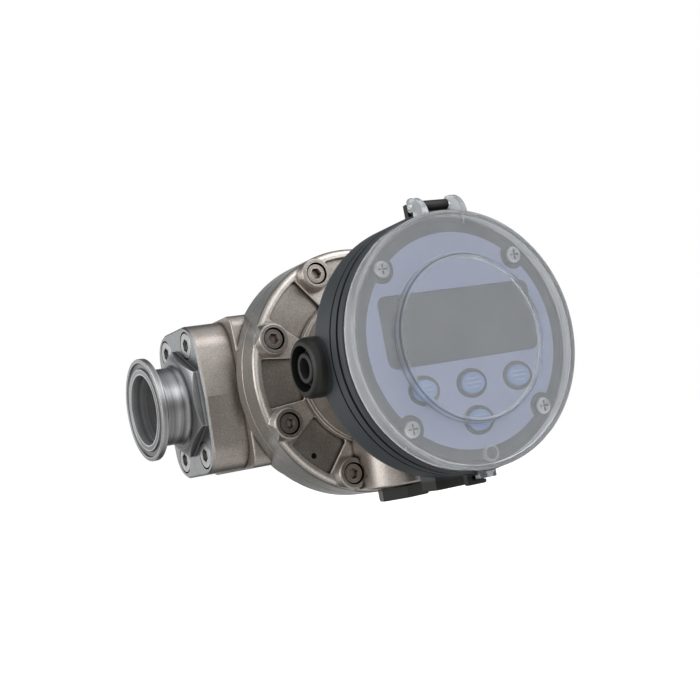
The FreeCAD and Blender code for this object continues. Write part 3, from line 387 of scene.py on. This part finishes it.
def moulded_plastic(finish):
    """Glass-filled nylon, moulded with a fine texture: dark slate, matt with a soft sheen, with painted
    shade that darkens its seams and corners and turns the lugs that stand off the rim black. The texture is
    drawn coarse enough to show."""
    material, tree, shader, place = finish_of("Moulded glass-filled nylon", {"Roughness": 0.5, "IOR": 1.53})
    across, radius = about_axis(tree, place)
    # Painted shade: the lugs that stand off the rim drawn black.
    lug_shade = add(tree, "ShaderNodeMapRange", {"Value": radius, "From Min": finish.lug_start,
                                           "From Max": finish.lug_start + MILLIMETRE}).outputs[0]
    # Painted shade in the seams and corners.
    seam = occlusion_mask(tree, finish.seam_shade_reach, start=0.75, full=0.25)
    tint = layered(tree, finish.housing, ((seam, finish.seam), (lug_shade, finish.black_plug_and_lug_shade)))
    speckled(tree, shader, place, tint, finish.mould_grain, finish.mould_depth, fine_spread=0.05,
             patch=finish.patch, patch_spread=0.06)
    return material


def matt_piece(finish, name, tint, roughness, ior):
    """Rubber, carbon or resin with a dull skin, its shade a little uneven."""
    material, tree, shader, place = finish_of(name, {"Roughness": roughness, "IOR": ior})
    speckled(tree, shader, place, tint, finish.mould_grain, finish.mould_depth, fine_spread=0.04,
             patch=finish.patch / 2, patch_spread=0.1)
    return material


def label_film(finish):
    """Polycarbonate label film, printed on its back: pale lilac-blue with a faint pearl and a satin face."""
    material, tree, shader, place = finish_of("Printed polycarbonate film", {"Roughness": 0.38, "IOR": 1.58})
    speckled(tree, shader, place, finish.film, finish.mould_grain, finish.mould_depth / 4, fine_spread=0.02,
             patch=finish.patch * 3, patch_spread=0.03)
    return material


def display_glass(finish):
    """Liquid crystal display, switched off: an even grey polariser behind polished glass, which mirrors."""
    material, tree, shader, place = finish_of("Polarised display glass", {"Roughness": 0.12, "IOR": 1.52})
    speckled(tree, shader, place, finish.display, finish.mould_grain, finish.mould_depth / 20,
             fine_spread=0.02, patch=finish.patch * 3, patch_spread=0.03)
    return material


def clear_plastic(finish):
    """Polycarbonate, moulded clear: a light haze on its faces, more of it in the side wall, the ears and the
    nub, where the eye looks along the plastic, and painted shade as a grey line at the step and a grey
    finger tab.
    The haze is the opaque share."""
    material, tree, shader, place = finish_of("Moulded clear polycarbonate", {"IOR": 1.4})
    across, radius = about_axis(tree, place)
    height = add(tree, "ShaderNodeSeparateXYZ", {0: place}).outputs["Z"]
    # Painted shade: the finger tab drawn grey.
    tab = add(tree, "ShaderNodeMath", {0: height, 1: -finish.lid_tab_drop}, operation="LESS_THAN").outputs[0]
    step = add(tree, "ShaderNodeMath", {0: radius, 1: finish.lid_step_r, 2: MILLIMETRE},
               operation="COMPARE").outputs[0]
    # Painted shade: a grey line along the step's edge.
    edge = add(tree, "ShaderNodeMath", {0: radius, 1: finish.lid_edge_r, 2: finish.lid_edge_width / 2},
               operation="COMPARE").outputs[0]
    tint = layered(tree, finish.lid, ((tab, finish.lid_tab_shade), (edge, finish.lid_edge_shade)))
    tree.links.new(tint, shader.inputs["Base Color"])
    rough = add(tree, "ShaderNodeMapRange", {"Value": step, "To Min": 0.05, "To Max": 0.45}).outputs[0]
    tree.links.new(rough, shader.inputs["Roughness"])
    smear = add(tree, "ShaderNodeTexNoise", {"Vector": place, "Scale": 1 / finish.patch, "Detail": 4.0})
    clear = add(tree, "ShaderNodeMapRange", {
        "Value": smear.outputs["Fac"], "From Min": NOISE_LOW, "From Max": NOISE_HIGH,
        "To Min": 0.79, "To Max": 0.83}).outputs[0]
    wall = add(tree, "ShaderNodeMapRange", {"Value": radius, "From Min": finish.lid_wall,
                                            "From Max": finish.lid_wall + 2 * MILLIMETRE}).outputs[0]
    from_nub = add(tree, "ShaderNodeVectorMath", {0: across, 1: (0, 0, -finish.nub_drop)},
                   operation="DISTANCE").outputs["Value"]
    nub = add(tree, "ShaderNodeMath", {0: from_nub, 1: finish.nub_r, 2: MILLIMETRE / 2},
              operation="COMPARE").outputs[0]
    hazed = add(tree, "ShaderNodeMath", {0: wall, 1: nub}, operation="MAXIMUM").outputs[0]
    kept = add(tree, "ShaderNodeMapRange", {"Value": hazed, "To Min": 1.0, "To Max": 0.84}).outputs[0]
    share = add(tree, "ShaderNodeMath", {0: clear, 1: kept}, operation="MULTIPLY").outputs[0]
    tree.links.new(share, shader.inputs["Transmission Weight"])
    return material


def new_piece(name, build):
    """Object made by a function that fills a bmesh."""
    mesh = bpy.data.meshes.new(name)
    shape = bmesh.new()
    build(shape)
    shape.to_mesh(mesh)
    shape.free()
    made = bpy.data.objects.new(name, mesh)
    bpy.context.scene.collection.objects.link(made)
    return made


class FLOWMETER_OT_castings(bpy.types.Operator):
    """Finish the body, the cap and the adaptors as blasted castings"""
    bl_idname = "flow_meter.castings"
    bl_label = "Castings"

    def execute(self, context):
        dress(["meter_body", "meter_cap", "inlet_adaptor", "outlet_adaptor"],
              cast_stainless(context.scene.flow_meter_finish))
        return {"FINISHED"}


class FLOWMETER_OT_ferrules(bpy.types.Operator):
    """Finish the ferrules, the gears' shafts and the hinge pin as turned steel"""
    bl_idname = "flow_meter.ferrules"
    bl_label = "Ferrules"

    def execute(self, context):
        dress(["inlet_ferrule", "outlet_ferrule", "rotor_upper_shaft", "rotor_lower_shaft", "hinge_pin"],
              turned_stainless(context.scene.flow_meter_finish))
        return {"FINISHED"}


class FLOWMETER_OT_screws(bpy.types.Operator):
    """Finish all the screws"""
    bl_idname = "flow_meter.screws"
    bl_label = "Screws"

    def execute(self, context):
        finish = context.scene.flow_meter_finish
        # Plain stainless heads are bright; the cap's are dulled by oil, with the painted highlight on their
        # edges reaching further in.
        dress(["inlet_adaptor_screws", "outlet_adaptor_screws", "neck_screws", "cover_screws"],
              screw_steel(finish, "Cold-headed stainless steel", finish.screw, roughness=0.3,
                          reach=finish.edge_highlight_reach))
        dress(["cap_screws"],
              screw_steel(finish, "Cold-headed oiled steel", finish.cap_screw, roughness=0.36,
                          reach=2 * finish.edge_highlight_reach))
        return {"FINISHED"}


class FLOWMETER_OT_gears(bpy.types.Operator):
    """Finish the oval gears with their bushes and magnets"""
    bl_idname = "flow_meter.gears"
    bl_label = "Gears"

    def execute(self, context):
        finish = context.scene.flow_meter_finish
        dress(["rotor_upper", "rotor_lower", "rotor_upper_magnets", "rotor_lower_magnets"],
              gear_steel(finish))
        # Pressed carbon is near black, with a dull grey sheen.
        dress(["rotor_upper_bush", "rotor_lower_bush"],
              matt_piece(finish, "Pressed carbon", finish.bush, roughness=0.5, ior=1.5))
        return {"FINISHED"}


class FLOWMETER_OT_housing(bpy.types.Operator):
    """Finish the display's housing and cover, the conduit plug and the terminals"""
    bl_idname = "flow_meter.housing"
    bl_label = "Housing"

    def execute(self, context):
        finish = context.scene.flow_meter_finish
        dress(["display_housing", "front_cover"], moulded_plastic(finish))
        # Black nylon from a smooth mould is dark with soft highlights.
        dress(["conduit_plug", "terminal_block"],
              matt_piece(finish, "Moulded black nylon", finish.black_plug_and_lug_shade, roughness=0.4, ior=1.53))
        return {"FINISHED"}


class FLOWMETER_OT_seals(bpy.types.Operator):
    """Finish the O-rings, the gaskets and the cable seal"""
    bl_idname = "flow_meter.seals"
    bl_label = "Seals"

    def execute(self, context):
        finish = context.scene.flow_meter_finish
        # Nitrile rubber is black and dull, with a faint bloom.
        dress(["cap_o_ring", "inlet_o_ring", "outlet_o_ring", "neck_gasket", "cover_gasket", "cable_seal"],
              matt_piece(finish, "Moulded nitrile rubber", finish.rubber, roughness=0.55, ior=1.52))
        return {"FINISHED"}


class FLOWMETER_OT_display(bpy.types.Operator):
    """Finish the label and the display"""
    bl_idname = "flow_meter.display"
    bl_label = "Display"

    def execute(self, context):
        finish = context.scene.flow_meter_finish
        dress(["fascia_label"], label_film(finish))
        dress(["lcd_module"], display_glass(finish))
        return {"FINISHED"}


class FLOWMETER_OT_buttons(bpy.types.Operator):
    """Finish the keys and print each with a line and two rows of dashes"""
    bl_idname = "flow_meter.buttons"
    bl_label = "Buttons"

    def execute(self, context):
        finish = context.scene.flow_meter_finish
        # Silicone rubber is soft to the eye: pale blue with a satin skin, and its print is a matt white.
        key = matt_piece(finish, "Moulded silicone rubber", finish.button, roughness=0.4, ior=1.43)
        ink = matt_piece(finish, "White print on silicone", finish.button_print, roughness=0.4, ior=1.43)
        for side in ("left", "centre", "right", "lower"):
            dress(["button_" + side], key)
            self.print_on(side, context.scene.flow_meter_detail, ink)
        return {"FINISHED"}

    def marks(self, detail):
        """Offsets and length of each mark on a key."""
        marks = [(0, 0, detail.line_length)]
        pitch = detail.dash_length + detail.dash_gap
        rows = ((detail.row_space, detail.upper_dashes), (-detail.row_space, detail.lower_dashes))
        for height, count in rows:
            first = -(count - 1) / 2 * pitch
            marks += [(first + index * pitch, height, detail.dash_length) for index in range(count)]
        return marks

    def print_on(self, side, detail, ink):
        """Rounded bars on the face of a key."""
        low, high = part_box("button_" + side)
        middle = Vector(((low.x + high.x) / 2, low.y, (low.z + high.z) / 2))

        def bars(shape):
            for across, up, long in self.marks(detail):
                place = Matrix.Translation(middle + Vector((across, 0, up)))
                size = Matrix.Diagonal((long, 2 * detail.print_height, detail.print_width, 1))
                bmesh.ops.create_cube(shape, size=1, matrix=place @ size)
            bmesh.ops.bevel(shape, geom=shape.edges[:], offset=detail.print_height / 2, segments=2,
                            affect="EDGES", profile=0.5)

        made = new_piece("button_print_" + side, bars)
        made.data.materials.append(ink)
        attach(made, side + "_button")


class FLOWMETER_OT_electronics(bpy.types.Operator):
    """Finish the boards and the battery"""
    bl_idname = "flow_meter.electronics"
    bl_label = "Electronics"

    def execute(self, context):
        finish = context.scene.flow_meter_finish
        # Solder resist is a glossy deep green, and the battery's film a plain smooth green.
        dress(["sensor_board", "circuit_board"],
              matt_piece(finish, "Solder resist on glass epoxy", finish.board, roughness=0.3, ior=1.55))
        dress(["battery"],
              matt_piece(finish, "Shrink film on steel", finish.cell, roughness=0.3, ior=1.5))
        return {"FINISHED"}


class FLOWMETER_OT_lid(bpy.types.Operator):
    """Finish the clear lid"""
    bl_idname = "flow_meter.lid"
    bl_label = "Lid"

    def execute(self, context):
        dress(["clear_lid"], clear_plastic(context.scene.flow_meter_finish))
        return {"FINISHED"}


class FLOWMETER_OT_stage(bpy.types.Operator):
    """Set the floor, the light and the camera"""
    bl_idname = "flow_meter.stage"
    bl_label = "Stage"

    # Parts of a direction between which a light fades in: its height, its slope and its way back.
    horizon = (-0.08, 0.25)
    steep = (0.32, 0.5)
    behind = (0.1, 0.5)

    def execute(self, context):
        stage = context.scene.flow_meter_stage
        context.scene.view_settings.view_transform = "Standard"
        self.floor(stage)
        self.world(context, stage)
        for name in ("key", "side"):
            self.softbox(context, stage, name)
        self.camera(context, stage)
        return {"FINISHED"}

    def floor(self, stage):
        """Pale sheet that glows, so that it shows white, and lights nothing."""
        height = cad_box[0].z - stage.floor_drop

        def sheet(shape):
            bmesh.ops.create_grid(shape, x_segments=1, y_segments=1, size=stage.floor_size / 2,
                                  matrix=Matrix.Translation((0, 0, height)))

        made = new_piece("floor", sheet)
        material = finish_of("Matt studio paper", {
            "Base Color": (*stage.floor, 1), "Roughness": 0.9, "Emission Color": (*WHITE, 1),
            "Emission Strength": 0.75})[0]
        made.data.materials.append(material)
        made.visible_glossy = False
        made.visible_diffuse = False

    def world(self, context, stage):
        """Light above the horizon, less below it, dark high and low at the back, white to the camera."""
        world = bpy.data.worlds.new("Studio")
        context.scene.world = world
        world.use_nodes = True
        tree = world.node_tree
        direction = add(tree, "ShaderNodeTexCoord", {}).outputs["Generated"]
        parts = add(tree, "ShaderNodeSeparateXYZ", {0: direction}).outputs
        slope = add(tree, "ShaderNodeMath", {0: parts["Z"]}, operation="ABSOLUTE").outputs[0]
        above, high, back = [
            add(tree, "ShaderNodeMapRange", {"Value": value, "From Min": start, "From Max": end},
                interpolation_type="SMOOTHSTEP").outputs[0]
            for value, (start, end) in (
                (parts["Z"], self.horizon), (slope, self.steep), (parts["Y"], self.behind))]
        unlit = add(tree, "ShaderNodeMath", {0: high, 1: back}, operation="MULTIPLY").outputs[0]
        seen = add(tree, "ShaderNodeLightPath", {}).outputs["Is Camera Ray"]
        light = layered(tree, stage.ground, ((above, stage.sky), (unlit, stage.flag), (seen, WHITE)))
        tree.links.new(light, tree.nodes["Background"].inputs["Color"])

    def softbox(self, context, stage, name):
        """Rectangular light that faces the meter."""
        light = bpy.data.lights.new(name + " softbox", "AREA")
        light.shape = "RECTANGLE"
        light.size = getattr(stage, name + "_width")
        light.size_y = getattr(stage, name + "_height")
        light.energy = getattr(stage, name + "_power")
        place = Vector(getattr(stage, name + "_place"))
        made = bpy.data.objects.new(name + " softbox", light)
        made.location = place
        made.rotation_euler = (Vector(stage.target) - place).to_track_quat("-Z", "Y").to_euler()
        context.scene.collection.objects.link(made)

    def camera(self, context, stage):
        """Camera at the photograph's angle."""
        data = bpy.data.cameras.new("camera")
        data.lens = stage.lens
        made = bpy.data.objects.new("camera", data)
        back = Vector((math.sin(stage.azimuth) * math.cos(stage.elevation),
                       -math.cos(stage.azimuth) * math.cos(stage.elevation), math.sin(stage.elevation)))
        upright = (-back).to_track_quat("-Z", "Y").to_matrix().to_4x4()
        place = Matrix.Translation(Vector(stage.target) + back * stage.distance)
        made.matrix_world = place @ upright @ Matrix.Rotation(stage.roll, 4, "Z")
        context.scene.collection.objects.link(made)
        context.scene.camera = made


OPERATORS = (FLOWMETER_OT_castings, FLOWMETER_OT_ferrules, FLOWMETER_OT_screws, FLOWMETER_OT_gears,
             FLOWMETER_OT_housing, FLOWMETER_OT_seals, FLOWMETER_OT_display, FLOWMETER_OT_buttons,
             FLOWMETER_OT_electronics, FLOWMETER_OT_lid, FLOWMETER_OT_stage)

SETTINGS = {"flow_meter_finish": FlowMeterFinish, "flow_meter_detail": FlowMeterDetail,
            "flow_meter_stage": FlowMeterStage}


class FLOWMETER_PT_finish(bpy.types.Panel):
    """Lists the steps that finish the flow meter"""
    bl_idname = "FLOWMETER_PT_finish"
    bl_label = "Flow Meter"
    bl_space_type = "VIEW_3D"
    bl_region_type = "UI"
    bl_category = "Flow Meter"

    def draw(self, context):
        for operator in OPERATORS:
            self.layout.operator(operator.bl_idname)


CLASSES = (*SETTINGS.values(), *OPERATORS, FLOWMETER_PT_finish)


def register():
    """Adds the classes and the scene's settings."""
    for each in CLASSES:
        bpy.utils.register_class(each)
    for name, group in SETTINGS.items():
        setattr(bpy.types.Scene, name, PointerProperty(type=group))


def unregister():
    """Takes the settings and the classes away again."""
    for name in SETTINGS:
        delattr(bpy.types.Scene, name)
    for each in reversed(CLASSES):
        bpy.utils.unregister_class(each)


def main():
    """Runs every step in order."""
    register()
    for operator in OPERATORS:
        group, name = operator.bl_idname.split(".")
        getattr(getattr(bpy.ops, group), name)()


if __name__ == "__main__":
    main()
